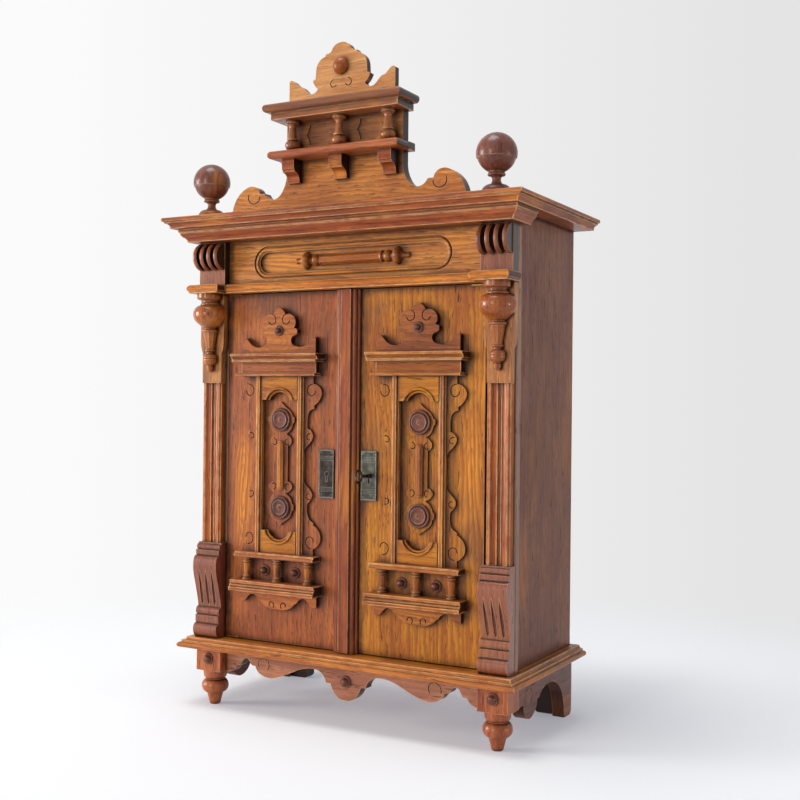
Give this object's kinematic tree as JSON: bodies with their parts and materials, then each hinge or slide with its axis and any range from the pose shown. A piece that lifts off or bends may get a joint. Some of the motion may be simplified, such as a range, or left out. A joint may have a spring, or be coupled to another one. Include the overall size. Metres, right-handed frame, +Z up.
{
  "type": "thimble display case",
  "caption": "Small oak two-door cupboard for thimbles on turned feet, with cornice, galleried crest, applied fretwork and turnings, shelves, lock and slide bolts.",
  "frame": {"origin": "middle of the footprint of the overall box, on the floor", "axes": "+Z up, +Y towards the back, +X towards the right-hand door"},
  "size_m": [0.375, 0.1894, 0.62],
  "materials": {
    "oak": "satin",
    "fret_oak": "satin",
    "turned_oak": "satin",
    "pale_oak": "satin",
    "brass": "aged",
    "patinated_brass": "patinated",
    "steel": "satin",
    "key_steel": "worn"
  },
  "bodies": {
    "case": {"back_panel": "oak", "back_pins": "steel", "ball_finials": "turned_oak", "base_board": "oak", "base_moulding": "oak", "case_pivots": "brass", "corner_blocks": "oak", "cornice_board": "oak", "cornice_moulding": "oak", "crest_board": "pale_oak", "crest_boss": "pale_oak", "door_stops": "oak", "drop_pendants": "turned_oak", "frieze_board": "oak", "frieze_spindle": "turned_oak", "front_apron": "oak", "front_feet": "turned_oak", "front_stiles": "oak", "gallery_balusters": "turned_oak", "gallery_corbels": "oak", "gallery_shelves": "oak", "pediment_board": "oak", "pendant_plaques": "oak", "rear_brackets": "oak", "reeded_pilasters": "oak", "scroll_consoles": "oak", "side_aprons": "oak", "side_panels": "oak", "string_course": "oak", "thimble_shelves": "oak", "top_board": "oak", "turned_buttons": "turned_oak"},
    "left_door": {"left_door_board": "oak", "left_door_crestings": "fret_oak", "left_door_mouldings": "oak", "left_door_strips": "oak", "left_door_spandrels": "oak", "left_door_frets": "fret_oak", "left_door_rosettes": "turned_oak", "left_door_turnings": "turned_oak", "left_door_pivots": "brass", "left_escutcheon": "patinated_brass", "meeting_bead": "oak", "strike_box": "brass", "slide_guides": "brass"},
    "right_door": {"right_door_board": "oak", "right_door_crestings": "fret_oak", "right_door_mouldings": "oak", "right_door_strips": "oak", "right_door_spandrels": "oak", "right_door_frets": "fret_oak", "right_door_rosettes": "turned_oak", "right_door_turnings": "turned_oak", "right_door_pivots": "brass", "right_escutcheon": "patinated_brass", "lock_case": "steel"},
    "upper_slide_bolt": {"upper_slide_bolt": "steel"},
    "lower_slide_bolt": {"lower_slide_bolt": "steel"},
    "lock_bolt": {"lock_bolt": "brass"},
    "key": {"key": "key_steel"}
  },
  "joints": [
    {"name": "left_door_hinge", "type": "hinge", "parent": "case", "child": "left_door", "pos_m": [-0.1358, -0.0497, 0.2327], "axis": [0, 0, -1], "range_deg": [0, 65]},
    {"name": "right_door_hinge", "type": "hinge", "parent": "case", "child": "right_door", "pos_m": [0.1358, -0.0497, 0.2327], "axis": [0, 0, 1], "range_deg": [0, 65]},
    {"name": "upper_bolt_slide", "type": "slide", "parent": "left_door", "child": "upper_slide_bolt", "axis": [0, 0, 1], "range_m": [0, 0.006]},
    {"name": "lower_bolt_slide", "type": "slide", "parent": "left_door", "child": "lower_slide_bolt", "axis": [0, 0, -1], "range_m": [0, 0.006]},
    {"name": "lock_bolt_slide", "type": "slide", "parent": "right_door", "child": "lock_bolt", "axis": [-1, 0, 0], "range_m": [0, 0.007]},
    {"name": "key_turn", "type": "hinge", "parent": "right_door", "child": "key", "pos_m": [0.0227, -0.055, 0.229], "axis": [0, 1, 0], "range_deg": [0, 90]}
  ],
  "couplings": [
    {"joint": "key_turn", "follows": "lock_bolt_slide", "rad_per_m": 224.4}
  ]
}
